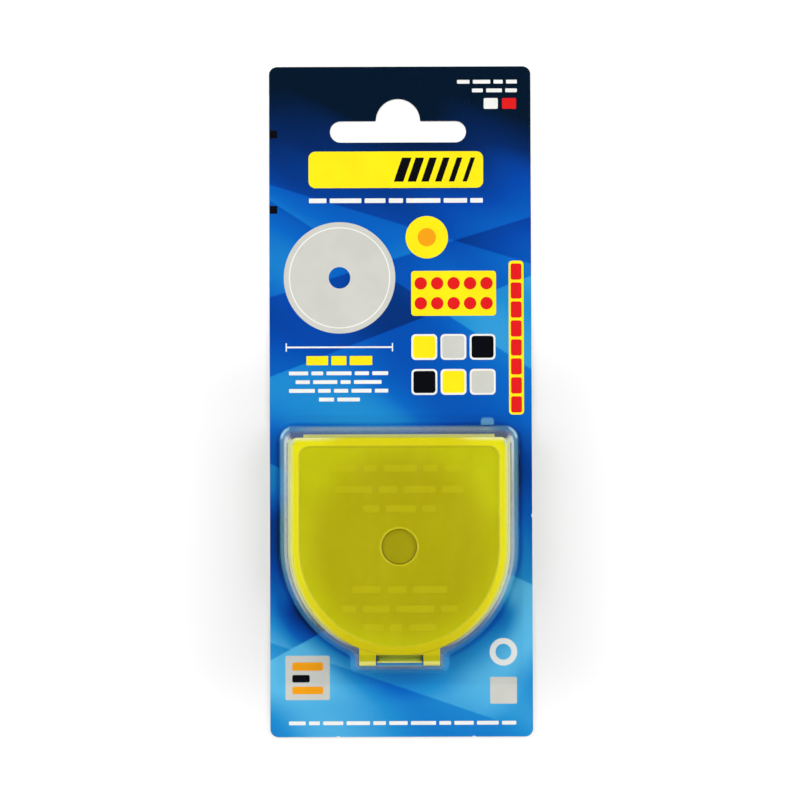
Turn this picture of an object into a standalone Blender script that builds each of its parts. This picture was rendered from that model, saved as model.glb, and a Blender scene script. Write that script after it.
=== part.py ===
"""Carded blister pack: a stack of round cutting blades in a hinged plastic case,
held by a clear thermoformed blister on a printed hang card.

The pack lies on its back. X is the card's width, Y its length towards the hang hole
and Z points out of the printed face. The origin is the middle of the card's back.
"""

from math import atan2, cos, hypot, pi, radians, sin, sqrt, tan

import bmesh
import bpy

MM = 0.001

# Blades
BLADE_COUNT = 10
BLADE_RADIUS = 22.5 * MM
BLADE_THICKNESS = 0.3 * MM
BLADE_GAP = 0.05 * MM  # film of oil between two blades
GRIND_WIDTH = 1.2 * MM  # ground on both faces
EDGE_THICKNESS = 0.02 * MM
BLADE_HOLE_RADIUS = 4.2 * MM  # largest round post that the lobed hole takes
LOBE_REACH = 0.9 * MM
LOBE_COUNT = 3
BLADE_TURN = radians(37)  # from one blade to the next

# Case: a tray and a lid moulded in one piece with a living hinge
CASE_WALL = 1.2 * MM
BLADE_CLEARANCE = 2.3 * MM
CASE_CORNER = 1.9 * MM
CASE_FLOOR = 1.0 * MM
LID_PANEL = 1.0 * MM
STACK_CLEARANCE = 0.95 * MM
RIM_WIDTH = 2.2 * MM
RIM_RISE = 0.35 * MM
PANEL_CORNER = 2.5 * MM
CASE_EDGE_ROUND = 0.5 * MM
TRAY_HEIGHT = 3.35 * MM
PARTING_GAP = 0.3 * MM
RABBET_THICKNESS = 0.45 * MM  # tray's inner lip, which stands inside the lid
RABBET_HEIGHT = 0.95 * MM
RABBET_CLEARANCE = 0.15 * MM
HINGE_LENGTH = 45.6 * MM
HINGE_REACH = 0.8 * MM
HINGE_THICKNESS = 0.4 * MM

# Post in the tray and the round dimple above it in the lid
POST_CLEARANCE = 0.2 * MM
POST_WALL = 0.8 * MM
POST_TOP_GAP = 0.3 * MM
DIMPLE_MARGIN = 0.25 * MM  # dimple's radius beyond the post's
DIMPLE_DEPTH = 0.5 * MM
DIMPLE_LIP_WIDTH = 0.35 * MM
DIMPLE_LIP_RISE = 0.1 * MM

# Latch at the round end
TAB_WIDTH = 19.2 * MM
TAB_REACH = 2.3 * MM  # beyond the round wall
TAB_STEP = 0.3 * MM  # below the rim's top
TAB_THICKNESS = 1.5 * MM
TAB_EDGE_ROUND = 0.6 * MM
NOTCH_WIDTH = 11.3 * MM
NOTCH_BITE = 0.3 * MM  # into the round wall
HOOK_CLEARANCE = 0.25 * MM
HOOK_SETBACK = 0.7 * MM  # from the tab's end
HOOK_THICKNESS = 0.4 * MM
HOOK_TOP_STEP = 0.8 * MM  # below the tab's top
BARB_DROP = 0.5 * MM  # below the hook's top
BARB_REACH = 0.5 * MM
BARB_HEIGHT = 0.4 * MM
CATCH_LAP = 0.2 * MM  # how far the lid's catch lies under the barb
CATCH_CLEARANCE = 0.2 * MM

# Blister
SHEET = 0.3 * MM
SIDE_CLEARANCE = 0.9 * MM
HEAD_CLEARANCE = 0.4 * MM
TOE_CLEARANCE = 0.4 * MM
TAB_CLEARANCE = 0.5 * MM
TOP_CLEARANCE = 0.3 * MM
DRAFT = 1.4 * MM  # how far the walls lean in over their height
BASE_CORNER = 3.3 * MM
TOP_CORNER = 2.2 * MM
BASE_TAB_CORNER = 2.0 * MM
TOP_TAB_CORNER = 1.1 * MM
TAB_FILLET = 1.5 * MM
FOOT_BEND = 0.4 * MM
CROWN_BEND = 1.0 * MM
FLANGE_SIDE = 0.85 * MM
FLANGE_END = 2.45 * MM
FLANGE_CORNER = 1.5 * MM
VENT_PLACE = 21.2 * MM  # right of the blister's middle, on its straight edge
VENT_WIDTH = 3.3 * MM
VENT_REACH = 1.9 * MM
VENT_HEIGHT = 0.7 * MM
VENT_CORNER = 0.9 * MM

# Card
CARD_THICKNESS = 0.6 * MM
CARD_CORNER = 2.0 * MM
CARD_SIDE = 2.05 * MM  # from the flange to the card's edge
CARD_FOOT = 12.8 * MM
CARD_HEADER = 84.0 * MM
PACK_SHIFT = -0.45 * MM  # blister and hang hole sit left of the card's middle
SEAL_GAP = 0.05 * MM  # seal between the card and the flange
CASE_LIFT = 0.3 * MM  # from the card to the case
SLOT_LENGTH = 32.6 * MM
SLOT_HEIGHT = 5.0 * MM
SLOT_DROP = 15.8 * MM  # from the card's top edge to the slot's middle
HUMP_RADIUS = 5.25 * MM
HUMP_RISE = 0.1 * MM  # from the slot's upper edge to the hump's centre
HUMP_FILLET = 0.4 * MM
NICK_LENGTH = 1.2 * MM
NICK_DEPTH = 0.25 * MM
SIDE_NICK = 52.9 * MM  # up from the card's foot
FOOT_NICKS = (16.3 * MM, 48.8 * MM)  # in from the card's left edge

# Facets
ROUND_STEPS = 48
CORNER_STEPS = 5
BEND_STEPS = 3
BLADE_STEPS = 48
HOLE_STEPS = 36
WELD = 0.001 * MM
SMOOTH_ANGLE = radians(30)
OVERRUN = 1.0 * MM  # how far a cutter runs past what it cuts

# Places, from the card's back upwards
flange_low = CARD_THICKNESS + SEAL_GAP
flange_high = flange_low + SHEET
case_low = CARD_THICKNESS + CASE_LIFT
floor_high = case_low + CASE_FLOOR
blade_pitch = BLADE_THICKNESS + BLADE_GAP
stack_high = floor_high + BLADE_COUNT * blade_pitch
panel_low = stack_high + STACK_CLEARANCE
panel_high = panel_low + LID_PANEL
rim_high = panel_high + RIM_RISE
tray_high = case_low + TRAY_HEIGHT
lid_low = tray_high + PARTING_GAP
blister_high = rim_high + TOP_CLEARANCE + SHEET
tab_high = rim_high - TAB_STEP
hook_high = tab_high - HOOK_TOP_STEP
barb_high = hook_high - BARB_DROP
barb_low = barb_high - BARB_HEIGHT
catch_high = barb_low - CATCH_CLEARANCE

# Half-widths and reaches from the blades' centre
post_radius = BLADE_HOLE_RADIUS - POST_CLEARANCE
cavity_radius = BLADE_RADIUS + BLADE_CLEARANCE
lip_radius = cavity_radius + RABBET_THICKNESS
rabbet_radius = lip_radius + RABBET_CLEARANCE
case_radius = cavity_radius + CASE_WALL
hinge_reach = case_radius + HINGE_REACH
tab_end = case_radius + TAB_REACH
hook_half = NOTCH_WIDTH / 2 - HOOK_CLEARANCE
hook_end = HOOK_SETBACK - tab_end
barb_half = hook_half - HOOK_THICKNESS
barb_end = hook_end + HOOK_THICKNESS + BARB_REACH
top_half = case_radius + SIDE_CLEARANCE + SHEET
top_head = hinge_reach + HEAD_CLEARANCE + SHEET
top_toe = tab_end + TOE_CLEARANCE + SHEET
top_tab_half = TAB_WIDTH / 2 + TAB_CLEARANCE + SHEET
flange_half = top_half + DRAFT + FLANGE_SIDE
flange_head = top_head + DRAFT + FLANGE_END
flange_toe = top_toe + DRAFT + FLANGE_END

card_half = flange_half + CARD_SIDE
card_length = CARD_FOOT + flange_toe + flange_head + CARD_HEADER
pack_x = PACK_SHIFT
pack_y = -card_length / 2 + CARD_FOOT + flange_toe
slot_y = card_length / 2 - SLOT_DROP


def clear_scene():
    for obj in list(bpy.data.objects):
        bpy.data.objects.remove(obj)


def make_collection(name):
    collection = bpy.data.collections.new(name)
    bpy.context.scene.collection.children.link(collection)
    return collection


def make_material(name, colour, roughness, metallic=0.0, transmission=0.0):
    material = bpy.data.materials.new(name)
    material.use_nodes = True
    shader = material.node_tree.nodes["Principled BSDF"]
    shader.inputs["Base Color"].default_value = (*colour, 1.0)
    shader.inputs["Roughness"].default_value = roughness
    shader.inputs["Metallic"].default_value = metallic
    shader.inputs["Transmission Weight"].default_value = transmission
    return material


# Outlines, all anticlockwise


def arc(centre, radius, start, end, steps):
    """Points of an arc, both ends included; angles in degrees."""
    angles = [radians(start + (end - start) * i / steps) for i in range(steps + 1)]
    return [(centre[0] + radius * cos(a), centre[1] + radius * sin(a)) for a in angles]


def rectangle(left, right, low, high, corner):
    points = []
    corners = ((right, high, 0), (left, high, 90), (left, low, 180), (right, low, 270))
    for x, y, start in corners:
        centre = (x - corner if x == right else x + corner, y - corner if y == high else y + corner)
        points += arc(centre, corner, start, start + 90, CORNER_STEPS)
    return points


def box_outline(left, right, low, high):
    return [(right, high), (left, high), (left, low), (right, low)]


def shield(half, corner):
    """The case's outline: square above the blades' centre, half round below it."""
    points = arc((half - corner, half - corner), corner, 0, 90, CORNER_STEPS)
    points += arc((corner - half, half - corner), corner, 90, 180, CORNER_STEPS)
    return points + arc((0, 0), half, 180, 360, ROUND_STEPS)


def mirrored(points):
    return [(-x, y) for x, y in reversed(points)]


def blister_outline(half, head, toe, tab_half, corner, tab_corner):
    """The blister's outline: the case's own with a tab at the round end."""
    fillet_x = tab_half + TAB_FILLET
    fillet_y = -sqrt((half + TAB_FILLET) ** 2 - fillet_x**2)
    meeting = atan2(fillet_y, fillet_x) * 180 / pi
    left = arc((corner - half, head - corner), corner, 90, 180, CORNER_STEPS)
    left += arc((0, 0), half, 180, 180 - meeting, ROUND_STEPS // 2)
    left += arc((-fillet_x, fillet_y), TAB_FILLET, -meeting, 0, BEND_STEPS)[1:]
    left += arc((tab_corner - tab_half, tab_corner - toe), tab_corner, 180, 270, CORNER_STEPS)
    return left + mirrored(left)


def hang_slot():
    """A slot with round ends and a round hump in the middle of its upper edge."""
    end = SLOT_HEIGHT / 2
    hump_y = end + HUMP_RISE
    fillet_y = end + HUMP_FILLET
    fillet_x = sqrt((HUMP_RADIUS + HUMP_FILLET) ** 2 - (fillet_y - hump_y) ** 2)
    meeting = atan2(fillet_y - hump_y, fillet_x) * 180 / pi
    right = arc((SLOT_LENGTH / 2 - end, 0), end, -90, 90, 2 * CORNER_STEPS)
    right += arc((fillet_x, fillet_y), HUMP_FILLET, 270, 180 + meeting, BEND_STEPS)
    hump = arc((0, hump_y), HUMP_RADIUS, meeting, 180 - meeting, 4 * CORNER_STEPS)
    return right + hump[1:-1] + mirrored(right)


def lobed_hole():
    points = []
    for i in range(HOLE_STEPS):
        angle = 2 * pi * i / HOLE_STEPS
        radius = BLADE_HOLE_RADIUS + LOBE_REACH * (0.5 + 0.5 * cos(LOBE_COUNT * angle)) ** 2
        points.append((radius * cos(angle), radius * sin(angle)))
    return points


def card_outline():
    """A rectangle with round corners and the small nicks of the die."""
    half_length = card_length / 2
    plain = rectangle(-card_half, card_half, -half_length, half_length, CARD_CORNER)
    last_corner = 3 * (CORNER_STEPS + 1)
    foot = []
    for inset in FOOT_NICKS:
        x = inset - card_half
        foot.append((x - NICK_LENGTH / 2, -half_length))
        foot.append((x, NICK_DEPTH - half_length))
        foot.append((x + NICK_LENGTH / 2, -half_length))
    y = SIDE_NICK - half_length
    side = [(card_half, y - NICK_LENGTH / 2)]
    side.append((card_half - NICK_DEPTH, y))
    side.append((card_half, y + NICK_LENGTH / 2))
    return plain[:last_corner] + foot + plain[last_corner:] + side


def moved(points, x, y):
    return [(px + x, py + y) for px, py in points]


# Solids


def evaluated_mesh(obj, name):
    bpy.context.view_layer.update()
    graph = bpy.context.evaluated_depsgraph_get()
    mesh = bpy.data.meshes.new_from_object(obj.evaluated_get(graph))
    mesh.name = name
    return mesh


def as_mesh(curve_object):
    """The curve object's solid, its caps welded to its sides."""
    name = curve_object.name
    mesh = evaluated_mesh(curve_object, name)
    work = bmesh.new()
    work.from_mesh(mesh)
    bmesh.ops.remove_doubles(work, verts=work.verts, dist=WELD)
    bmesh.ops.dissolve_limit(work, angle_limit=radians(0.5), verts=work.verts, edges=work.edges)
    bmesh.ops.recalc_face_normals(work, faces=work.faces)
    work.to_mesh(mesh)
    work.free()
    collection = curve_object.users_collection[0]
    matrix = curve_object.matrix_world.copy()
    curve = curve_object.data
    bpy.data.objects.remove(curve_object)
    bpy.data.curves.remove(curve)
    obj = bpy.data.objects.new(name, mesh)
    obj.matrix_world = matrix
    collection.objects.link(obj)
    return obj


def plate(name, outlines, low, high, collection):
    """A flat plate between two heights. Outlines after the first are holes."""
    curve = bpy.data.curves.new(name, "CURVE")
    curve.dimensions = "2D"
    curve.fill_mode = "BOTH"
    curve.extrude = (high - low) / 2
    for outline in outlines:
        spline = curve.splines.new("POLY")
        spline.points.add(len(outline) - 1)
        for point, (x, y) in zip(spline.points, outline):
            point.co = (x, y, 0.0, 1.0)
        spline.use_cyclic_u = True
    obj = bpy.data.objects.new(name, curve)
    obj.location = (0.0, 0.0, (low + high) / 2)
    collection.objects.link(obj)
    return as_mesh(obj)


def cylinder(name, radius, low, high, collection):
    mesh = bpy.data.meshes.new(name)
    work = bmesh.new()
    bmesh.ops.create_cone(
        work, cap_ends=True, segments=BLADE_STEPS, radius1=radius, radius2=radius, depth=high - low
    )
    work.to_mesh(mesh)
    work.free()
    obj = bpy.data.objects.new(name, mesh)
    obj.location = (0.0, 0.0, (low + high) / 2)
    collection.objects.link(obj)
    return obj


def round_edges(obj, width, low, high):
    """Rounds the edges that lie wholly between two world heights."""
    mesh = obj.data
    weights = mesh.attributes.new("bevel_weight_edge", "FLOAT", "EDGE")
    base = obj.location.z
    for edge in mesh.edges:
        heights = [base + mesh.vertices[i].co.z for i in edge.vertices]
        if min(heights) > low and max(heights) < high:
            weights.data[edge.index].value = 1.0
    bevel = obj.modifiers.new("Round edges", "BEVEL")
    bevel.limit_method = "WEIGHT"
    bevel.width = width
    bevel.segments = BEND_STEPS


def boolean(obj, other, operation):
    modifier = obj.modifiers.new(f"{operation.title()} {other.name}", "BOOLEAN")
    modifier.operation = operation
    modifier.object = other
    modifier.solver = "EXACT"


def cut(obj, other):
    boolean(obj, other, "DIFFERENCE")


def join(obj, other):
    boolean(obj, other, "UNION")


def as_helper(obj):
    obj.hide_render = True
    obj.display_type = "WIRE"


def finish(obj, material):
    obj.data.shade_smooth()
    obj.data.set_sharp_from_angle(angle=SMOOTH_ANGLE)
    obj.data.materials.clear()
    obj.data.materials.append(material)


# Pieces


def make_card(parts, material):
    hole = moved(hang_slot(), pack_x, slot_y)
    card = plate("backing_card", [card_outline(), hole], 0.0, CARD_THICKNESS, parts)
    finish(card, material)


def bend(before, corner, after, radius):
    """Points that round the corner between two straight lines of a profile."""
    ends = []
    for other in (before, after):
        length = hypot(other[0] - corner[0], other[1] - corner[1])
        ends.append(((other[0] - corner[0]) / length, (other[1] - corner[1]) / length))
    (ax, ay), (bx, by) = ends
    half_angle = atan2(abs(ax * by - ay * bx), ax * bx + ay * by) / 2
    reach = radius / tan(half_angle)
    middle = hypot(ax + bx, ay + by)
    centre_reach = radius / sin(half_angle)
    centre = (
        corner[0] + (ax + bx) / middle * centre_reach,
        corner[1] + (ay + by) / middle * centre_reach,
    )
    first = atan2(corner[1] + ay * reach - centre[1], corner[0] + ax * reach - centre[0])
    last = atan2(corner[1] + by * reach - centre[1], corner[0] + bx * reach - centre[0])
    turn = (last - first + pi) % (2 * pi) - pi
    return arc(centre, radius, first * 180 / pi, (first + turn) * 180 / pi, BEND_STEPS)


def blister_profile():
    """(inset, height) of the wall's outer face, from the flange to the crown."""
    foot = (0.0, flange_high)
    crown = (DRAFT, blister_high)
    outward = (-DRAFT, flange_high)
    inward = (2 * DRAFT, blister_high)
    return bend(outward, foot, crown, FOOT_BEND) + bend(foot, crown, inward, CROWN_BEND)


def blister_section(inset):
    """The blister's outline at an inset from its base outline."""
    share = inset / DRAFT
    return blister_outline(
        top_half + DRAFT - inset,
        top_head + DRAFT - inset,
        top_toe + DRAFT - inset,
        top_tab_half + DRAFT - inset,
        BASE_CORNER + (TOP_CORNER - BASE_CORNER) * share,
        BASE_TAB_CORNER + (TOP_TAB_CORNER - BASE_TAB_CORNER) * share,
    )


def add_loop(work, outline, height):
    verts = [work.verts.new((x, y, height)) for x, y in outline]
    return [work.edges.new((verts[i - 1], verts[i])) for i in range(len(verts))]


def make_blister(parts, helpers, material):
    work = bmesh.new()
    rim = rectangle(-flange_half, flange_half, -flange_toe, flange_head, FLANGE_CORNER)
    rim_loop = add_loop(work, rim, flange_high)
    loops = [add_loop(work, blister_section(inset), z) for inset, z in blister_profile()]
    bmesh.ops.triangle_fill(work, edges=rim_loop + loops[0], use_beauty=True)
    for lower, upper in zip(loops, loops[1:]):
        bmesh.ops.bridge_loops(work, edges=lower + upper)
    bmesh.ops.triangle_fill(work, edges=loops[-1], use_beauty=True)
    bmesh.ops.recalc_face_normals(work, faces=work.faces)
    highest = max(work.faces, key=lambda face: face.calc_center_median().z)
    if highest.normal.z < 0:
        bmesh.ops.reverse_faces(work, faces=work.faces)
    mesh = bpy.data.meshes.new("blister")
    work.to_mesh(mesh)
    work.free()
    blister = bpy.data.objects.new("blister", mesh)
    blister.location = (pack_x, pack_y, 0.0)
    parts.objects.link(blister)
    solidify = blister.modifiers.new("Sheet", "SOLIDIFY")
    solidify.thickness = SHEET
    solidify.offset = -1.0
    solidify.use_even_offset = True
    add_vent(blister, helpers)
    finish(blister, material)


def add_vent(blister, helpers):
    """A small hollow bump where the wall's foot meets the flange."""
    foot = top_head + DRAFT
    inner_foot = foot - SHEET
    for operation, inset, start in (("UNION", 0.0, inner_foot), ("DIFFERENCE", SHEET, foot - DRAFT)):
        outline = rectangle(
            VENT_PLACE - VENT_WIDTH / 2 + inset,
            VENT_PLACE + VENT_WIDTH / 2 - inset,
            start,
            foot + VENT_REACH - inset,
            VENT_CORNER - inset,
        )
        top = flange_high + VENT_HEIGHT - inset
        form = plate(f"vent_{operation.lower()}", [outline], flange_low - inset, top, helpers)
        form.parent = blister
        boolean(blister, form, operation)


def make_tray(parts, helpers):
    """The case's lower half, with its post and hook. It becomes the whole case."""
    tray = plate("blade_case", [shield(case_radius, CASE_CORNER)], case_low, tray_high, parts)
    round_edges(tray, CASE_EDGE_ROUND, case_low - WELD, case_low + WELD)

    lip = plate(
        "tray_lip",
        [shield(lip_radius, CASE_CORNER * lip_radius / case_radius)],
        (case_low + floor_high) / 2,
        tray_high + RABBET_HEIGHT,
        helpers,
    )
    join(tray, lip)

    block = plate(
        "hook_block",
        [box_outline(-hook_half, hook_half, hook_end, -cavity_radius + OVERRUN)],
        case_low + CASE_EDGE_ROUND,
        tray_high,
        helpers,
    )
    join(tray, block)

    cavity = plate(
        "tray_cavity",
        [shield(cavity_radius, CASE_CORNER * cavity_radius / case_radius)],
        floor_high,
        tray_high + RABBET_HEIGHT + OVERRUN,
        helpers,
    )
    cut(tray, cavity)

    tongue = plate(
        "hook_tongue",
        [box_outline(-hook_half, hook_half, hook_end, hook_end + HOOK_THICKNESS)],
        tray_high - OVERRUN,
        hook_high,
        helpers,
    )
    join(tray, tongue)
    barb = plate(
        "hook_barb",
        [box_outline(-barb_half, barb_half, hook_end + HOOK_THICKNESS / 2, barb_end)],
        barb_low,
        barb_high,
        helpers,
    )
    join(tray, barb)

    post_high = panel_low - POST_TOP_GAP
    join(tray, cylinder("post", post_radius, (case_low + floor_high) / 2, post_high, helpers))
    bore_radius = post_radius - POST_WALL
    cut(tray, cylinder("post_bore", bore_radius, case_low - OVERRUN, post_high - POST_WALL, helpers))
    return tray


def make_lid(helpers):
    lid = plate("lid", [shield(case_radius, CASE_CORNER)], lid_low, rim_high, helpers)
    round_edges(lid, CASE_EDGE_ROUND, rim_high - WELD, rim_high + WELD)

    tab = plate(
        "lid_tab",
        [box_outline(-TAB_WIDTH / 2, TAB_WIDTH / 2, -tab_end, OVERRUN - cavity_radius)],
        tab_high - TAB_THICKNESS,
        tab_high,
        helpers,
    )
    round_edges(tab, TAB_EDGE_ROUND, tab_high - WELD, tab_high + WELD)
    join(lid, tab)

    rabbet = plate(
        "lid_rabbet",
        [shield(rabbet_radius, CASE_CORNER * rabbet_radius / case_radius)],
        lid_low - OVERRUN,
        tray_high + RABBET_HEIGHT + PARTING_GAP,
        helpers,
    )
    cut(lid, rabbet)
    cavity = plate(
        "lid_cavity",
        [shield(cavity_radius, CASE_CORNER * cavity_radius / case_radius)],
        lid_low - OVERRUN,
        panel_low,
        helpers,
    )
    cut(lid, cavity)
    panel = plate(
        "panel_recess",
        [shield(case_radius - RIM_WIDTH, PANEL_CORNER)],
        panel_high,
        rim_high + OVERRUN,
        helpers,
    )
    cut(lid, panel)

    dimple_radius = post_radius + DIMPLE_MARGIN
    ring_radius = dimple_radius + DIMPLE_LIP_WIDTH
    ring_high = panel_high + DIMPLE_LIP_RISE
    join(lid, cylinder("dimple_ring", ring_radius, panel_high - LID_PANEL / 2, ring_high, helpers))
    dimple_low = panel_high - DIMPLE_DEPTH
    cut(lid, cylinder("dimple", dimple_radius, dimple_low, ring_high + OVERRUN, helpers))

    notch_top = NOTCH_BITE - case_radius
    notch = plate(
        "tab_notch",
        [box_outline(-NOTCH_WIDTH / 2, NOTCH_WIDTH / 2, -tab_end - OVERRUN, notch_top)],
        lid_low - OVERRUN,
        rim_high + OVERRUN,
        helpers,
    )
    cut(lid, notch)
    catch = plate(
        "lid_catch",
        [box_outline(-barb_half, barb_half, barb_end - CATCH_LAP, notch_top + NOTCH_BITE / 2)],
        catch_high - BARB_HEIGHT,
        catch_high,
        helpers,
    )
    join(lid, catch)
    return lid


def make_hinge(helpers):
    """A thin strap that bends round the parting gap from the tray to the lid."""
    middle = (tray_high + lid_low) / 2
    inner = HINGE_REACH - HINGE_THICKNESS
    root = case_radius - RABBET_CLEARANCE
    outline = [(root, -HINGE_REACH)]
    outline += arc((case_radius, 0), HINGE_REACH, -90, 90, 2 * CORNER_STEPS)
    outline += [(root, HINGE_REACH), (root, inner)]
    outline += arc((case_radius, 0), inner, 90, -90, 2 * CORNER_STEPS)
    outline += [(root, -inner)]
    hinge = plate("hinge", [outline], -HINGE_LENGTH / 2, HINGE_LENGTH / 2, helpers)
    hinge.rotation_euler = (pi / 2, 0.0, pi / 2)
    hinge.location = (0.0, 0.0, middle)
    return hinge


def make_case(parts, helpers, material):
    kept = set(helpers.objects)
    tray = make_tray(parts, helpers)
    join(tray, make_lid(helpers))
    join(tray, make_hinge(helpers))
    place = bpy.data.objects.new("case_place", None)
    place.location = (pack_x, pack_y, 0.0)
    parts.objects.link(place)
    tray.parent = place
    for helper in set(helpers.objects) - kept:
        helper.parent = place
    finish(tray, material)


def make_blade_mesh(helpers, material):
    """A disc ground to an edge from both faces, with a three-lobed hole."""
    half = BLADE_THICKNESS / 2
    inner = BLADE_HOLE_RADIUS / 2
    ground = BLADE_RADIUS - GRIND_WIDTH
    edge = EDGE_THICKNESS / 2
    profile = [(inner, half), (ground, half), (BLADE_RADIUS, edge)]
    profile += [(x, -z) for x, z in reversed(profile)]
    work = bmesh.new()
    verts = [work.verts.new((x, 0.0, z)) for x, z in profile]
    for i in range(len(verts)):
        work.edges.new((verts[i - 1], verts[i]))
    mesh = bpy.data.meshes.new("blade_form")
    work.to_mesh(mesh)
    work.free()
    form = bpy.data.objects.new("blade_form", mesh)
    helpers.objects.link(form)
    screw = form.modifiers.new("Turn", "SCREW")
    screw.steps = BLADE_STEPS
    screw.render_steps = BLADE_STEPS
    screw.use_merge_vertices = False
    hole = plate("blade_hole", [lobed_hole()], -BLADE_THICKNESS, BLADE_THICKNESS, helpers)
    cut(form, hole)
    blade = evaluated_mesh(form, "blade")
    blade.shade_smooth()
    blade.set_sharp_from_angle(angle=SMOOTH_ANGLE)
    blade.materials.clear()
    blade.materials.append(material)
    return blade


def make_blades(parts, helpers, material):
    mesh = make_blade_mesh(helpers, material)
    for i in range(BLADE_COUNT):
        blade = bpy.data.objects.new(f"blade_{i + 1:02d}", mesh)
        height = floor_high + BLADE_GAP + BLADE_THICKNESS / 2 + i * blade_pitch
        blade.location = (pack_x, pack_y, height)
        blade.rotation_euler = (0.0, 0.0, i * BLADE_TURN)
        parts.objects.link(blade)


def main():
    clear_scene()
    parts = make_collection("carded_blade_pack")
    helpers = make_collection("cutters")
    board = make_material("Printed board", (0.01, 0.12, 0.55), 0.35)
    clear = make_material("Clear film", (0.95, 0.97, 1.0), 0.05, transmission=1.0)
    yellow = make_material("Yellow plastic", (0.75, 0.68, 0.02), 0.3)
    steel = make_material("Blade steel", (0.62, 0.62, 0.6), 0.25, metallic=1.0)
    make_card(parts, board)
    make_blister(parts, helpers, clear)
    make_case(parts, helpers, yellow)
    make_blades(parts, helpers, steel)
    for helper in helpers.objects:
        as_helper(helper)


main()
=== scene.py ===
"""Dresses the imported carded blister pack: printed card, clear blister, hinged case, blades.

All lengths are in metres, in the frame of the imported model. The pack lies on its back,
X is the card's width, Y points to the hang hole and Z out of the printed face.
"""

from math import atan2, cos, degrees, pi, radians, sin, sqrt, tan

import bmesh
import bpy
from mathutils import Color, Matrix, Vector
from mathutils.geometry import delaunay_2d_cdt


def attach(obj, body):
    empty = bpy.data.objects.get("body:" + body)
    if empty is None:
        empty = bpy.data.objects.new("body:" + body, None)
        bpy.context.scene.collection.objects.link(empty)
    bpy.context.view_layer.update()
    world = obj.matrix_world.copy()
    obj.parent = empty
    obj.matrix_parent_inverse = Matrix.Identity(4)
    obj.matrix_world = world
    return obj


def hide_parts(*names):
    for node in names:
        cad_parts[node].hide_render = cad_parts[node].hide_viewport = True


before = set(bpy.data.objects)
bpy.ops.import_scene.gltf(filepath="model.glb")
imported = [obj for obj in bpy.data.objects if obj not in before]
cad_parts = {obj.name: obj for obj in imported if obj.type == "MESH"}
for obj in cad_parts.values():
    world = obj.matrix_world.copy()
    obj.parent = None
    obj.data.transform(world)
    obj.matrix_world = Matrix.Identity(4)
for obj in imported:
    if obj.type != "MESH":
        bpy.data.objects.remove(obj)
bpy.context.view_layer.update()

MM = 0.001

# Blades
BLADE_COUNT = 10
BLADE_RADIUS = 22.5 * MM
BLADE_THICKNESS = 0.3 * MM
BLADE_GAP = 0.05 * MM
GRIND_WIDTH = 1.2 * MM
EDGE_THICKNESS = 0.02 * MM
BLADE_HOLE_RADIUS = 4.2 * MM
LOBE_REACH = 0.9 * MM
LOBE_COUNT = 3
BLADE_TURN = radians(37)

# Case
CASE_WALL = 1.2 * MM
BLADE_CLEARANCE = 2.3 * MM
CASE_CORNER = 1.9 * MM
CASE_FLOOR = 1.0 * MM
LID_PANEL = 1.0 * MM
STACK_CLEARANCE = 0.95 * MM
RIM_WIDTH = 2.2 * MM
RIM_RISE = 0.35 * MM
RIM_SLOPE = 0.2 * MM
PANEL_CORNER = 2.5 * MM
CASE_EDGE_ROUND = 0.5 * MM
TRAY_HEIGHT = 3.35 * MM
PARTING_GAP = 0.3 * MM
RABBET_THICKNESS = 0.45 * MM
RABBET_HEIGHT = 0.95 * MM
RABBET_CLEARANCE = 0.15 * MM
HINGE_LENGTH = 45.6 * MM
HINGE_REACH = 0.8 * MM
HINGE_THICKNESS = 0.4 * MM
POST_CLEARANCE = 0.2 * MM
POST_WALL = 0.8 * MM
POST_TOP_GAP = 0.3 * MM
DIMPLE_MARGIN = 0.25 * MM
DIMPLE_DEPTH = 0.5 * MM
DIMPLE_LIP_WIDTH = 0.35 * MM
DIMPLE_LIP_RISE = 0.1 * MM
DIMPLE_LIP_ROUND = 0.05 * MM
TAB_WIDTH = 19.2 * MM
TAB_REACH = 2.3 * MM
TAB_ROOT = 15.0 * MM
TAB_STEP = 0.3 * MM
TAB_THICKNESS = 1.5 * MM
TAB_EDGE_ROUND = 0.6 * MM
NOTCH_WIDTH = 11.3 * MM
NOTCH_BITE = 0.3 * MM
HOOK_CLEARANCE = 0.25 * MM
HOOK_SETBACK = 0.7 * MM
HOOK_THICKNESS = 0.4 * MM
HOOK_TOP_STEP = 0.8 * MM
BARB_DROP = 0.5 * MM
BARB_REACH = 0.5 * MM
BARB_HEIGHT = 0.4 * MM
CATCH_LAP = 0.2 * MM
CATCH_CLEARANCE = 0.2 * MM
CATCH_ROUND = 0.08 * MM
SOFT_EDGE = 0.12 * MM  # small rounding of the case's moulded edges

# Blister
SHEET = 0.3 * MM
SIDE_CLEARANCE = 0.9 * MM
HEAD_CLEARANCE = 0.4 * MM
TOE_CLEARANCE = 0.4 * MM
TAB_CLEARANCE = 0.5 * MM
TOP_CLEARANCE = 0.3 * MM
DRAFT = 1.4 * MM
BASE_CORNER = 3.3 * MM
TOP_CORNER = 2.2 * MM
BASE_TAB_CORNER = 2.0 * MM
TOP_TAB_CORNER = 1.1 * MM
TAB_FILLET = 1.5 * MM
FOOT_BEND = 0.4 * MM
CROWN_BEND = 1.0 * MM
FLANGE_SIDE = 0.85 * MM
FLANGE_END = 2.45 * MM
FLANGE_CORNER = 1.5 * MM
VENT_PLACE = 21.2 * MM
VENT_WIDTH = 3.3 * MM
VENT_REACH = 1.9 * MM
VENT_HEIGHT = 0.7 * MM
VENT_CORNER = 0.9 * MM
VENT_ROUND = 0.25 * MM

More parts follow.
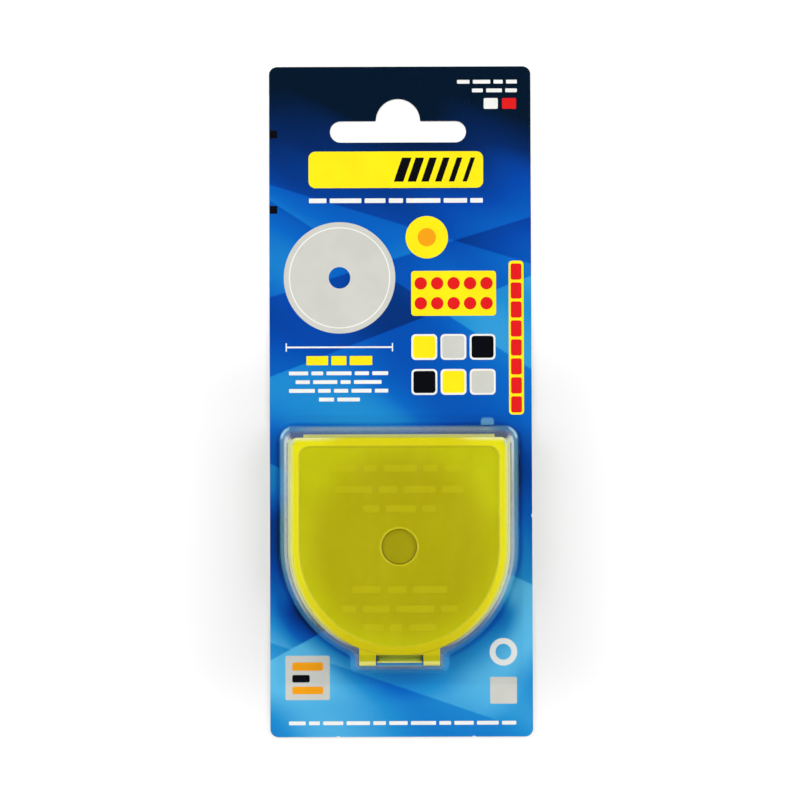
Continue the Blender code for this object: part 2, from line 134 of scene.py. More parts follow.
# Card
CARD_THICKNESS = 0.6 * MM
CARD_CORNER = 2.0 * MM
CARD_SIDE = 2.05 * MM
CARD_FOOT = 12.8 * MM
CARD_HEADER = 84.0 * MM
PACK_SHIFT = -0.45 * MM
SEAL_GAP = 0.05 * MM
CASE_LIFT = 0.3 * MM
SLOT_LENGTH = 32.6 * MM
SLOT_HEIGHT = 5.0 * MM
SLOT_DROP = 15.8 * MM
HUMP_RADIUS = 5.25 * MM
HUMP_RISE = 0.1 * MM
HUMP_FILLET = 0.4 * MM
NICK_LENGTH = 1.2 * MM
NICK_DEPTH = 0.25 * MM
SIDE_NICK = 52.9 * MM
FOOT_NICKS = (16.3 * MM, 48.8 * MM)
CARD_EDGE_ROUND = 0.06 * MM

# Facets
ROUND_STEPS = 160
CORNER_STEPS = 12
BEND_STEPS = 8
EDGE_STEPS = 4
BLADE_STEPS = 192
HOLE_STEPS = 96
CIRCLE_STEPS = 96
DISC_STEPS = 72
DOT_STEPS = 40
WELD = 0.001 * MM
PRINT_MERGE = 1e-5  # in the print's millimetres
SHARPEST_TURN = 0.5  # cosine at which an inset corner stops growing
SMOOTH_ANGLE = radians(32)
OVERRUN = 1.0 * MM

# Raised rows on the lid, in millimetres, as (place, lengths)
RELIEF_ROWS = (
    (18.6, (6.2, 3.4, 8.0, 3.4, 5.6)),
    (13.6, (9.0, 4.4, 7.6, 5.2)),
    (9.0, (4.0, 7.2, 3.2)),
    (-10.2, (7.0, 4.6, 8.2)),
    (-14.8, (3.6, 6.4, 9.2, 4.0)),
    (-19.2, (5.0, 3.0, 6.6)),
)
RELIEF_GAP = 1.5
RELIEF_WIDTH = 1.7
RELIEF_CORNER = 0.4
RELIEF_RISE = 0.08 * MM
RELIEF_ROOT = 0.3 * MM

# Places, from the card's back upwards
flange_low = CARD_THICKNESS + SEAL_GAP
flange_high = flange_low + SHEET
case_low = CARD_THICKNESS + CASE_LIFT
floor_high = case_low + CASE_FLOOR
blade_pitch = BLADE_THICKNESS + BLADE_GAP
stack_high = floor_high + BLADE_COUNT * blade_pitch
panel_low = stack_high + STACK_CLEARANCE
panel_high = panel_low + LID_PANEL
rim_high = panel_high + RIM_RISE
tray_high = case_low + TRAY_HEIGHT
lid_low = tray_high + PARTING_GAP
blister_high = rim_high + TOP_CLEARANCE + SHEET
tab_high = rim_high - TAB_STEP
hook_high = tab_high - HOOK_TOP_STEP
barb_high = hook_high - BARB_DROP
barb_low = barb_high - BARB_HEIGHT
catch_high = barb_low - CATCH_CLEARANCE
post_high = panel_low - POST_TOP_GAP

# Half-widths and reaches from the blades' centre
post_radius = BLADE_HOLE_RADIUS - POST_CLEARANCE
dimple_radius = post_radius + DIMPLE_MARGIN
ground_radius = BLADE_RADIUS - GRIND_WIDTH
cavity_radius = BLADE_RADIUS + BLADE_CLEARANCE
lip_radius = cavity_radius + RABBET_THICKNESS
rabbet_radius = lip_radius + RABBET_CLEARANCE
case_radius = cavity_radius + CASE_WALL
panel_half = case_radius - RIM_WIDTH
hinge_reach = case_radius + HINGE_REACH
tab_end = case_radius + TAB_REACH
hook_half = NOTCH_WIDTH / 2 - HOOK_CLEARANCE
hook_end = HOOK_SETBACK - tab_end
barb_half = hook_half - HOOK_THICKNESS
barb_end = hook_end + HOOK_THICKNESS + BARB_REACH
foot_half = case_radius + SIDE_CLEARANCE + SHEET + DRAFT
top_head = hinge_reach + HEAD_CLEARANCE + SHEET
foot_head = top_head + DRAFT
foot_toe = tab_end + TOE_CLEARANCE + SHEET + DRAFT
foot_tab_half = TAB_WIDTH / 2 + TAB_CLEARANCE + SHEET + DRAFT
flange_half = foot_half + FLANGE_SIDE
flange_head = foot_head + FLANGE_END
flange_toe = foot_toe + FLANGE_END
card_half = flange_half + CARD_SIDE
card_length = CARD_FOOT + flange_toe + flange_head + CARD_HEADER
pack_x = PACK_SHIFT
pack_y = -card_length / 2 + CARD_FOOT + flange_toe
slot_y = card_length / 2 - SLOT_DROP

# Camera: almost straight above, a little towards the card's foot
CAMERA_HEIGHT = 0.75
CAMERA_BACK = 0.020
CAMERA_ROLL = radians(-0.19)
CAMERA_NEAR = 0.05
AIM = (-0.00017, 0.00019)
SENSOR = 36.0
FIELD = 0.192  # width of the picture at the card

# Stage: lamps as (name, place, size, power, shows only in gloss)
FLOOR_REACH = 2.5
FLOOR_DROP = 0.05 * MM
WORLD_LIGHT = 0.40
WHITE_LIGHT = (1.0, 1.0, 1.0, 1.0)
LAMPS = (
    ("Left panel", (-0.62, 0.10, 0.42), (0.7, 0.75), 5.2, False),
    ("Right panel", (0.62, 0.10, 0.42), (0.7, 0.75), 5.2, False),
    ("Left sheen", (-0.43, 0.14, 0.62), (0.9, 0.26), 2.2, True),
    ("Right sheen", (0.43, 0.14, 0.62), (0.9, 0.26), 2.2, True),
)


# Outlines, all anticlockwise


def arc(centre, radius, start, end, steps):
    """Points of an arc, both ends included; angles in degrees."""
    angles = [radians(start + (end - start) * i / steps) for i in range(steps + 1)]
    return [(centre[0] + radius * cos(a), centre[1] + radius * sin(a)) for a in angles]


def circle(radius, steps=CIRCLE_STEPS, centre=(0.0, 0.0)):
    return arc(centre, radius, 0, 360, steps)[:-1]


def box(left, right, low, high):
    return [(right, high), (left, high), (left, low), (right, low)]


def rectangle(left, right, low, high, corner, steps=CORNER_STEPS):
    """A box with round corners."""
    points = []
    for i, (x, y) in enumerate(box(left + corner, right - corner, low + corner, high - corner)):
        points += arc((x, y), corner, 90 * i, 90 * i + 90, steps)
    return points


def bar(*form):
    return rectangle(*form, EDGE_STEPS)


def row(left, low, height, lengths, gap, corner):
    """Bars side by side with even gaps."""
    bars = []
    for length in lengths:
        bars.append(bar(left, left + length, low, low + height, corner))
        left += length + gap
    return bars


def shield(half, corner):
    """The case's outline: square above the blades' centre, half round below it."""
    points = arc((half - corner, half - corner), corner, 0, 90, CORNER_STEPS)
    points += arc((corner - half, half - corner), corner, 90, 180, CORNER_STEPS)
    return points + arc((0, 0), half, 180, 360, ROUND_STEPS)


def mirrored(points):
    return [(-x, y) for x, y in reversed(points)]


def moved(points, x, y):
    return [(px + x, py + y) for px, py in points]


def blister_outline(half, head, toe, tab_half, corner, tab_corner):
    """The blister's outline: the case's own with a tab at the round end."""
    fillet_x = tab_half + TAB_FILLET
    fillet_y = -sqrt((half + TAB_FILLET) ** 2 - fillet_x**2)
    meeting = degrees(atan2(fillet_y, fillet_x))
    left = arc((corner - half, head - corner), corner, 90, 180, CORNER_STEPS)
    left += arc((0, 0), half, 180, 180 - meeting, ROUND_STEPS // 2)
    left += arc((-fillet_x, fillet_y), TAB_FILLET, -meeting, 0, BEND_STEPS)[1:]
    left += arc((tab_corner - tab_half, tab_corner - toe), tab_corner, 180, 270, CORNER_STEPS)
    return left + mirrored(left)


def hang_slot():
    """A slot with round ends and a round hump in the middle of its upper edge."""
    end = SLOT_HEIGHT / 2
    hump_y = end + HUMP_RISE
    fillet_y = end + HUMP_FILLET
    fillet_x = sqrt((HUMP_RADIUS + HUMP_FILLET) ** 2 - (fillet_y - hump_y) ** 2)
    meeting = degrees(atan2(fillet_y - hump_y, fillet_x))
    right = arc((SLOT_LENGTH / 2 - end, 0), end, -90, 90, 2 * CORNER_STEPS)
    right += arc((fillet_x, fillet_y), HUMP_FILLET, 270, 180 + meeting, BEND_STEPS)
    hump = arc((0, hump_y), HUMP_RADIUS, meeting, 180 - meeting, 4 * CORNER_STEPS)
    return right + hump[1:-1] + mirrored(right)


def lobed_hole():
    points = []
    for x, y in circle(1.0, HOLE_STEPS):
        swell = (1 + cos(LOBE_COUNT * atan2(y, x))) / 2
        radius = BLADE_HOLE_RADIUS + LOBE_REACH * swell**2
        points.append((radius * x, radius * y))
    return points


def card_outline():
    """A rectangle with round corners and the small nicks of the die."""
    half_length = card_length / 2
    plain = rectangle(-card_half, card_half, -half_length, half_length, CARD_CORNER)
    last_corner = 3 * (CORNER_STEPS + 1)
    nick = ((-NICK_LENGTH / 2, 0.0), (0.0, NICK_DEPTH), (NICK_LENGTH / 2, 0.0))
    foot = [point for inset in FOOT_NICKS for point in moved(nick, inset - card_half, -half_length)]
    side = [(card_half - depth, SIDE_NICK - half_length + along) for along, depth in nick]
    return plain[:last_corner] + foot + plain[last_corner:] + side


def inset_outline(points, inset):
    """The same outline drawn in by a small inset."""
    drawn = []
    count = len(points)
    for i in range(count):
        before, here, after = (Vector(points[(i + step) % count]) for step in (-1, 0, 1))
        first = (here - before).normalized()
        second = (after - here).normalized()
        normal = Vector((-first.y - second.y, first.x + second.x)).normalized()
        reach = inset / max(SHARPEST_TURN, normal.dot(Vector((-first.y, first.x))))
        drawn.append(tuple(here + normal * reach))
    return drawn


def bend(before, corner, after, radius, steps=BEND_STEPS):
    """Points that round the corner between two straight lines of a profile."""
    corner = Vector(corner)
    back, on = ((Vector(other) - corner).normalized() for other in (before, after))
    half_angle = back.angle(on) / 2
    centre = corner + (back + on).normalized() * (radius / sin(half_angle))
    angles = []
    for way in (back, on):
        x, y = corner + way * (radius / tan(half_angle)) - centre
        angles.append(degrees(atan2(y, x)))
    turn = (angles[1] - angles[0] + 180) % 360 - 180
    return arc(centre, radius, angles[0], angles[0] + turn, steps)


def rounded_profile(*corners):
    """A profile from (place, height, rounding) corners; an open one has sharp ends."""
    points = []
    for i, (*corner, rounding) in enumerate(corners):
        before, after = corners[i - 1][:2], corners[(i + 1) % len(corners)][:2]
        points += bend(before, corner, after, rounding, EDGE_STEPS) if rounding else [corner]
    return points


def edge_curve(radius):
    """(inset, drop) points from the top of an edge down to its side; one if it is sharp."""
    angles = [pi / 2 * i / EDGE_STEPS for i in range(EDGE_STEPS + 1)] if radius else [0.0]
    return [(radius * (1 - sin(a)), radius * (1 - cos(a))) for a in angles]


# Meshes


def add_ring(work, points):
    """A closed ring of vertices through 3D points."""
    return [work.verts.new(point) for point in points]


def add_loop(work, outline, height):
    return add_ring(work, [(x, y, height) for x, y in outline])


def bridge(work, rings):
    """Joins rings of equal count, vertex to vertex."""
    for lower, upper in zip(rings, rings[1:]):
        for i in range(len(lower)):
            work.faces.new((lower[i - 1], lower[i], upper[i], upper[i - 1]))


def fill(work, *rings):
    """Closes one ring, or the flat band between two."""
    pairs = [(ring[i - 1], ring[i]) for ring in rings for i in range(len(ring))]
    edges = [work.edges.get(pair) or work.edges.new(pair) for pair in pairs]
    bmesh.ops.triangle_fill(work, edges=edges, use_beauty=True)


def cap(work, rings):
    """Joins rings and fills the last."""
    bridge(work, rings)
    fill(work, rings[-1])


def close(work, rings):
    cap(work, rings)
    fill(work, rings[0])


def new_object(name, data):
    obj = bpy.data.objects.new(name, data)
    bpy.context.scene.collection.objects.link(obj)
    return obj


def piece_from(work, name, at=(pack_x, pack_y)):
    """An object of a finished bmesh, its faces turned outwards, moved to its place."""
    bmesh.ops.remove_doubles(work, verts=work.verts, dist=WELD)
    bmesh.ops.recalc_face_normals(work, faces=work.faces)
    bmesh.ops.translate(work, verts=work.verts, vec=(*at, 0.0))
    mesh = bpy.data.meshes.new(name)
    work.to_mesh(mesh)
    work.free()
    return new_object(name, mesh)


def turn_up(obj, face):
    if face.normal.z < 0:
        obj.data.flip_normals()


def add_prism(work, outline, low, high, rounding=0.0, rounded="both"):
    """A block on an outline, with its upper, lower or both edges rounded."""
    lower = edge_curve(rounding if rounded in ("both", "low") else 0.0)
    upper = edge_curve(rounding if rounded in ("both", "high") else 0.0)
    profile = [(inset, low + drop) for inset, drop in lower]
    profile += [(inset, high - drop) for inset, drop in reversed(upper)]
    close(work, [add_loop(work, inset_outline(outline, inset), z) for inset, z in profile])


def prism(name, *form):
    work = bmesh.new()
    add_prism(work, *form)
    return piece_from(work, name)


def bar_along_x(name, profile, half_length, rounding):
    """A bar with a (Y, Z) profile, its ends a little rounded."""
    ends = [(half_length - back, inset) for back, inset in edge_curve(rounding)]
    stations = [(-x, inset) for x, inset in reversed(ends)] + ends
    work = bmesh.new()
    rings = []
    for x, inset in stations:
        rings.append(add_ring(work, [(x, y, z) for y, z in inset_outline(profile, inset)]))
    close(work, rings)
    return piece_from(work, name)


def apply_modifiers(obj):
    bpy.context.view_layer.update()
    graph = bpy.context.evaluated_depsgraph_get()
    mesh = bpy.data.meshes.new_from_object(obj.evaluated_get(graph))
    old = obj.data
    obj.modifiers.clear()
    obj.data = mesh
    mesh.name = obj.name
    bpy.data.meshes.remove(old)


def boolean(obj, steps):
    """Joins blocks to an object or cuts them from it, in order, then drops them."""
    for operation, other in steps:
        modifier = obj.modifiers.new(other.name, "BOOLEAN")
        modifier.operation = operation
        modifier.object = other
        modifier.solver = "EXACT"
    apply_modifiers(obj)
    for _, other in steps:
        bpy.data.meshes.remove(other.data)


def smooth(obj):
    """Smooth shading that keeps flat faces flat and sharp edges sharp."""
    obj.data.shade_smooth()
    obj.data.set_sharp_from_angle(angle=SMOOTH_ANGLE)
    weighted = obj.modifiers.new("Even normals", "WEIGHTED_NORMAL")
    weighted.mode = "FACE_AREA"
    weighted.keep_sharp = True
    apply_modifiers(obj)


# Materials


def srgb(*levels):
    """Linear colour of a screen colour given from 0 to 255."""
    return (*Color([level / 255 for level in levels]).from_srgb_to_scene_linear(), 1.0)


def darker(colour, share):
    return (*(value * share for value in colour[:3]), 1.0)


def all_of(first, *others):
    """The product of several factors."""
    for other in others:
        first = first * other
    return first


def arithmetic(operation):
    """A method that carries out one operation of the math node."""
    return lambda wire, *others: wire.graph.math(operation, wire, *others)


class Wire:
    """A node's output; one that carries numbers takes plain arithmetic."""

    def __init__(self, graph, socket):
        self.graph = graph
        self.socket = socket

    __add__ = arithmetic("ADD")
    __sub__ = arithmetic("SUBTRACT")
    __mul__ = arithmetic("MULTIPLY")
    __pow__ = arithmetic("POWER")
    __abs__ = arithmetic("ABSOLUTE")
    higher = arithmetic("MAXIMUM")
    lower = arithmetic("MINIMUM")

    def __rsub__(self, other):
        return self.graph.math("SUBTRACT", other, self)

    def step(self, low, high, at_low=0.0, at_high=1.0):
        """A smooth step from one value to another."""
        inputs = dict(enumerate((self, low, high, at_low, at_high)))
        return self.graph.wire("MapRange", "Result", inputs, interpolation_type="SMOOTHSTEP")

    def rise(self, low, high, at_low=0.0, at_high=1.0):
        """A step between two places in millimetres."""
        return self.step(low * MM, high * MM, at_low, at_high)

    def fall(self, low, high, at_low=1.0, at_high=0.0):
        return self.rise(low, high, at_low, at_high)

    def band(self, start, full, fade, end):
        """One from full to fade, nothing before start and after end, in millimetres."""
        return self.rise(start, full) * self.fall(fade, end)


class Graph:
    """The node tree of a material or a world, built from short calls."""

    def __init__(self, name, owners=bpy.data.materials):
        self.owner = owners.new(name)
        self.owner.use_nodes = True
        self.tree = self.owner.node_tree
        self.tree.nodes.clear()

    def node(self, kind, inputs, **settings):
        node = self.tree.nodes.new("ShaderNode" + kind)
        for key, value in settings.items():
            setattr(node, key, value)
        for key, value in inputs.items():
            if isinstance(value, Wire):
                self.tree.links.new(value.socket, node.inputs[key])
            else:
                node.inputs[key].default_value = value
        return node

    def wire(self, kind, output, inputs, **settings):
        return Wire(self, self.node(kind, inputs, **settings).outputs[output])

    def math(self, operation, *operands):
        return self.wire("Math", 0, dict(enumerate(operands)), operation=operation)

    def mix(self, factor, first, second):
        return self.wire("Mix", 2, {0: factor, 6: first, 7: second}, data_type="RGBA")

    def layered(self, tone, *layers):
        """A colour with others laid over it, as (factor, colour)."""
        for factor, colour in layers:
            tone = self.mix(factor, tone, colour)
        return tone

    def ramp(self, value, *stops):
        node = self.node("ValToRGB", {"Fac": value})
        elements = node.color_ramp.elements
        while len(elements) < len(stops):
            elements.new(0.5)
        for element, (place, colour) in zip(elements, stops):
            element.position = place
            element.color = colour
        return Wire(self, node.outputs["Color"])

    def coordinates(self, kind="Object"):
        return self.wire("TexCoord", kind, {})

    def axes(self, vector):
        """A vector's X, Y and Z."""
        return [Wire(self, socket) for socket in self.node("SeparateXYZ", {0: vector}).outputs]

    def centred(self):
        """The point from the blades' centre, and its X, Y and Z."""
        inputs = {0: self.coordinates(), 1: (-pack_x, -pack_y, 0.0)}
        point = self.wire("VectorMath", 0, inputs, operation="ADD")
        return point, *self.axes(point)

    def radius(self, x, y):
        return self.math("SQRT", x * x + y * y)

    def case_reach(self, x, y, half=case_radius, corner=CASE_CORNER):
        """How far out a point lies, measured as an outline of the case runs."""
        middle = half - corner
        right = abs(x) - middle
        up = y - middle
        square = self.radius(right.higher(0.0), up.higher(0.0)) + right.higher(up).lower(0.0)
        above = self.math("GREATER_THAN", y, 0.0)
        return (square + middle) * above + self.radius(x, y) * (1.0 - above)

    def turned(self, vector, angle, scale):
        """The point turned about Z, then scaled."""
        inputs = {"Vector": vector, "Angle": angle}
        turn = self.wire("VectorRotate", 0, inputs, rotation_type="Z_AXIS")
        return self.wire("VectorMath", 0, {0: turn, 1: scale}, operation="MULTIPLY")

    def noise(self, vector, scale, detail=2.0, roughness=0.5):
        inputs = {"Vector": vector, "Scale": scale, "Detail": detail, "Roughness": roughness}
        return self.wire("TexNoise", "Fac", inputs)

    def bump(self, height, strength, distance):
        inputs = {"Height": height, "Strength": strength, "Distance": distance}
        return self.wire("Bump", "Normal", inputs)

    def shader(self, kind, **inputs):
        return self.wire(kind, 0, {key.replace("_", " "): value for key, value in inputs.items()})

    def mix_shader(self, factor, first, second):
        return self.wire("MixShader", 0, {0: factor, 1: first, 2: second})

    def ray(self, kind):
        return self.wire("LightPath", kind, {})

    def finish(self, shader, kind="Material"):
        self.node("Output" + kind, {"Surface": shader})
        return self.owner


def varnished(graph, place, tone):
    """Gloss varnish with the faint unevenness of the board below it."""
    fibres = graph.noise(graph.turned(place, 0.0, (1.0, 0.35, 1.0)), 2400.0, 3.0)
    height = fibres * 0.35 + graph.noise(place, 420.0)
    shader = graph.shader(
        "BsdfPrincipled",
        Base_Color=tone,
        Roughness=graph.noise(place, 300.0, 3.0).step(0.2, 0.8, 0.12, 0.17),
        IOR=1.45,
        Coat_Weight=0.25,
        Coat_Roughness=0.12,
        Normal=graph.bump(height, 0.2, 0.012 * MM),
    )
    return graph.finish(shader)


def ink_material(name, colour):
    """A flat printed ink under gloss varnish."""
    graph = Graph(name)
    place = graph.coordinates()
    cloud = graph.noise(place, 120.0).step(0.3, 0.7)
    return varnished(graph, place, graph.mix(cloud, darker(colour, 0.93), colour))


def field_material():
    """The card's blue ground: navy at the header, brighter with soft slanting bands below, painted shade
    round the blister.
    """
    graph = Graph("Blue ground")
    place = graph.coordinates()
    x, y, _ = graph.axes(place)

    def beyond(start_x, start_y, angle, soft=0.25):
        """One on the left of a line through a point in millimetres, nothing on its right."""
        across = (x - start_x * MM) * -sin(radians(angle))
        return ((y - start_y * MM) * cos(radians(angle)) + across).rise(-soft, soft)

    value = y.rise(30, 76, 0.44, -0.02) + y.rise(-34, -66, 0.0, 0.30)
    bands = graph.noise(graph.turned(place, radians(38), (11.0, 30.0, 0.0)), 1.0, 1.5, 0.45)
    value = value + bands.step(0.3, 0.7, -0.14, 0.14)
    facets = (
        (0.13, beyond(-31, 48, -33), beyond(31, 33, 163)),
        (-0.15, beyond(-31, 6, 21), beyond(31, 44, 197)),
        (-0.26, beyond(-31, -62, 29), beyond(31, -14, 190, 5.0), beyond(12, -80, 77, 8.0)),
        (0.17, beyond(31, -44, 155), beyond(-31, -70, 8, 6.0)),
        (0.12, beyond(-31, -58, -19), beyond(20, -80, 60, 4.0)),
    )
    for amount, *edges in facets:
        value = all_of(*edges) * amount + value
    # Painted shade along the blister's foot, and deeper painted shade round its lower end
    _, across, along, _ = graph.centred()
    wide = abs(across)
    shade = (graph.case_reach(across, along) - foot_half).fall(-0.2, 1.6, 0.14)
    lower_end_shade = all_of(
        graph.radius(across, along).fall(29, 39, 0.32),
        along.rise(-10, -17),
        wide.rise(4, 14, 0.75, 1.0),
        wide.fall(25, 31, 1.0, 0.3),
    )
    tone = graph.ramp(
        value - shade - lower_end_shade,
        (0.08, srgb(2, 14, 30)),
        (0.26, srgb(2, 34, 92)),
        (0.42, srgb(0, 66, 164)),
        (0.56, srgb(2, 96, 188)),
        (0.70, srgb(30, 138, 202)),
        (0.90, srgb(88, 182, 226)),
    )
    grain = graph.noise(place, 5200.0, 1.0).step(0.25, 0.75, 0.0, 0.04)
    return varnished(graph, place, graph.mix(grain, tone, srgb(40, 120, 190)))


def board_material(name, colour, streaks):
    """Uncoated grey-white board: fibres and small flecks."""
    graph = Graph(name)
    place = graph.coordinates()
    fibres = graph.noise(graph.turned(place, radians(7), streaks), 1.0, 5.0, 0.6)
    flecks = graph.noise(place, 900.0, 4.0, 0.7)
    tone = graph.mix(fibres.step(0.3, 0.72), darker(colour, 0.84), colour)
    shader = graph.shader(
        "BsdfPrincipled",
        Base_Color=graph.mix(flecks.step(0.62, 0.74, 0.0, 0.5), tone, srgb(150, 140, 124)),
        Roughness=fibres.step(0.2, 0.8, 0.75, 0.92),
        Normal=graph.bump(fibres + flecks * 0.6, 0.5, 0.03 * MM),
    )
    return graph.finish(shader)


def film_material():
    """Clear thermoformed sheet: see-through face on, glossy and a little milky on its walls, with painted
    highlights on its crown and corners and a painted glow of the case's colour at its edge.
    """
    graph = Graph("Clear film")
    local, x, y, z = graph.centred()
    wide = abs(x)
    past_end = y + tab_end
    past_head = y - top_head
    up = z - flange_high
    down = z - blister_high
    # Distance outside the case and its tab
    tab = (wide - TAB_WIDTH / 2).higher(-tab_end - y).higher(y + TAB_ROOT)
    outside = (graph.case_reach(x, y) - case_radius).lower(tab)
    # The crown, where the wall turns into the flat top, a little milky, with a painted highlight line up
    # its sides
    upper = down.rise(-1.7, -0.7)
    crown = outside.rise(-0.25, 0.1) * upper
    below_head = (y - wide).fall(-1.0, 1.0)
    sides = wide.rise(19.0, 24.5) * below_head
    crown_highlight = outside.band(0.6, 0.9, 1.25, 1.65) * y.rise(13, 24, 0.10, 0.24) + 0.08
    haze_and_painted_light = crown * (sides * crown_highlight + 0.05)
    # Painted glow of the case's own colour, where the sheet bends over its edge
    case_glow = crown * outside.fall(0.1, 0.85)
    haze_and_painted_light = haze_and_painted_light.higher(all_of(case_glow, below_head, sides * 0.14 + wide.rise(8, 17, 0.0, 0.28)))
    # Painted highlight just past the tab's end, between its feet
    haze_and_painted_light = haze_and_painted_light + all_of(past_end.band(-0.25, 0.25, 0.5, 1.0), wide.fall(5.2, 5.8, 0.17), upper)
    # The walls, a little milky; a band on the head's, and a painted highlight on the turn into the flange
    # below the others
    upright = abs(graph.axes(graph.coordinates("Normal"))[2])
    wall = upright.step(0.3, 0.75, 1.0, 0.0)
    haze_and_painted_light = haze_and_painted_light.higher(wall * crown.step(0.0, 1.0, 0.16, 0.0))
    head = all_of(past_head.band(-0.2, 0.4, 0.8, 1.3), up.rise(0.35, 1.05), wide.fall(20, 26))
    turn = all_of(up.band(0.0, 0.35, 0.55, 1.25), y.fall(-24, -6, 0.12), wall)
    haze_and_painted_light = head * 0.07 + haze_and_painted_light + turn
    vent = (y - foot_head).rise(0.0, 0.2, 0.0, 0.17) * up.rise(0.15, 0.35)
    # Painted highlights in the two upper corners: an arc on the wall, a spot on the crown
    right = wide - (foot_half - BASE_CORNER)
    above = y - (foot_head - BASE_CORNER)
    bow = graph.radius(right, above).band(2.1, 2.6, 3.0, 3.3)
    bow = all_of(bow, right.rise(0.2, 1.5), above.rise(-0.6, 0.8, 0.0, 0.46))
    spot = graph.radius(right - 0.8 * MM, above + 0.5 * MM).fall(0.1, 1.5, 0.4)
    glint = bow.higher(spot * down.rise(-3.3, -0.8))
    haze_and_painted_light = haze_and_painted_light.higher(vent).higher(glint)
    scuffs = graph.noise(graph.turned(local, radians(25), (500.0, 4200.0, 900.0)), 1.0, 3.0, 0.6)
    haze_and_painted_light = haze_and_painted_light + scuffs.step(0.68, 0.86, 0.0, 0.004)
    # Less mirror near the card and on the flat top
    normal = graph.bump(graph.noise(local, 160.0), 0.02, 0.05 * MM)
    facing = graph.wire("LayerWeight", "Facing", {"Blend": 0.5, "Normal": normal})
    mirror = facing**4.0 * 0.6 + 0.022
    mirror = all_of(mirror, up.rise(0.15, 1.25, 0.4, 1.0), down.rise(-2.8, -1.3, 0.5, 1.0))
    clear = graph.shader("BsdfTransparent", Color=(0.985, 0.99, 0.992, 1.0))
    gloss = graph.shader("BsdfAnisotropic", Color=WHITE_LIGHT, Roughness=0.12, Normal=normal)
    # Colour of the milk and the painted light: blue to cyan from foot to head, a painted reflection of the
    # card; pale yellow-green on the head band, whitish on the crown and glints, the case's yellow in its
    # glow
    tint = graph.layered(
        graph.mix(y.rise(-16, 0), (0.12, 0.56, 0.98, 1.0), (0.30, 0.74, 0.86, 1.0)),
        (head, (0.78, 0.84, 0.52, 1.0)),
        (crown.higher(glint), (0.84, 0.90, 0.84, 1.0)),
        (case_glow, (0.84, 0.88, 0.38, 1.0)),
    )
    milk_and_painted_light = graph.shader("BsdfDiffuse", Color=tint)
    return graph.finish(graph.mix_shader(haze_and_painted_light, graph.mix_shader(mirror, clear, gloss), milk_and_painted_light))


def plastic_material():
    """Translucent yellow case: painted light where its walls stand and on its edges, painted shade of the
    blades under the lid, in its dimple and in its latch.
    """
    graph = Graph("Yellow plastic")
    local, x, y, z = graph.centred()
    wide = abs(x)
    radius = graph.radius(x, y)
    past_case = graph.case_reach(x, y) - case_radius
    past_panel = graph.case_reach(x, y, panel_half, PANEL_CORNER) - panel_half
    past_dimple = radius - dimple_radius
    past_notch = wide - NOTCH_WIDTH / 2
    past_end = y + tab_end
    below_rim = z - rim_high
    cloud = graph.noise(local, 70.0, 3.0, 0.55)
    flow = graph.noise(graph.turned(local, radians(4), (260.0, 60.0, 200.0)), 1.0)
    # Painted light on the rim: lighter towards the sides and towards the top
    side = wide.rise(6, 22) * y.rise(-24, 0, 0.4, 1.0)
    side = side.higher(y.rise(10, 25, 0.0, 0.55))
    rim = past_panel.rise(-0.2, 0.4)
    crease_shade = past_dimple.band(-0.4, -0.15, -0.07, 0.05) * y.fall(-3, 2, 0.85, 0.2)
    raised = (z - panel_high).rise(0.02, 0.05, 0.0, 0.5) * (1.0 - rim)
    # Painted highlight along the case's outer edge, up its sides, stronger towards the top
    edge = all_of(
        past_case.rise(-1.1, -0.1),
        wide.rise(12, 22),
        y.rise(-20, 22, 0.35, 0.85),
        below_rim.rise(-0.8, -0.4),
    )
    # Painted shade on the floor of the latch slot, between the tab's feet
    slot_floor_shade = all_of(
        past_notch.fall(-0.1, -0.03),
        past_end.band(1.04, 1.12, 2.55, 2.65),
        below_rim.fall(-1.5, -1.2),
    )
    tone = graph.layered(
        # Painted shade of the blades seen through the lid: olive within their reach, lighter past it
        graph.mix(radius.fall(17, 26), srgb(214, 214, 2), srgb(196, 186, 0)),
        (cloud.step(0.35, 0.65, 0.0, 0.3), srgb(184, 172, 0)),
        # Dimple: painted shade inside it, a painted highlight on its lip, and a dark painted shade in the
        # crease inside the lip, deeper on its lower side
        (past_dimple.fall(-0.15, 0.05, 0.7), srgb(172, 162, 0)),
        (past_dimple.band(-0.05, 0.07, 0.35, 0.6) * 0.6, srgb(226, 220, 30)),
        (crease_shade, srgb(120, 96, 0)),
        # Rim with painted light, brighter towards the sides and the top; the walls below it; and the
        # raised rows
        (rim, graph.mix(side, srgb(222, 206, 4), srgb(255, 244, 18))),
        (below_rim.fall(-2.3, -0.9, 0.6), srgb(214, 204, 20)),
        (raised, srgb(214, 206, 14)),
        # Painted highlight on the outer edge up the sides, pale hinge
        (edge, srgb(255, 252, 196)),
        ((y - case_radius).rise(0.02, 0.08), srgb(222, 222, 130)),
        # Latch: the tab, a painted highlight on its ends, and painted shade on the olive floor between
        # them
        (past_end.fall(2.4, 2.8, 0.7) * past_notch.rise(-0.15, 0.05), srgb(186, 186, 2)),
        (past_end.fall(0.9, 1.3) * below_rim.rise(-1.5, -1.2), srgb(246, 240, 130)),
        (slot_floor_shade, srgb(168, 186, 62)),
        (flow.step(0.3, 0.7, 0.0, 0.08), srgb(236, 226, 60)),
    )
    rough = graph.noise(local, 520.0, 3.0).step(0.3, 0.7, 0.16, 0.21)
    dull_slope = past_panel.band(-0.3, -0.1, 0.15, 0.4) * y.rise(-12, 2, 0.0, 0.45)
    height = graph.noise(local, 1900.0) + flow * 0.6
    body = graph.shader(
        "BsdfPrincipled",
        Base_Color=tone,
        Roughness=rough.higher(dull_slope),
        IOR=1.5,
        Subsurface_Weight=0.25,
        Subsurface_Radius=(1.0, 0.9, 0.25),
        Subsurface_Scale=0.8 * MM,
        Normal=graph.bump(height, 0.22, 0.015 * MM),
    )
    clear = graph.shader("BsdfTransparent", Color=(0.98, 0.93, 0.12, 1.0))
    return graph.finish(graph.mix_shader(0.86, clear, body))


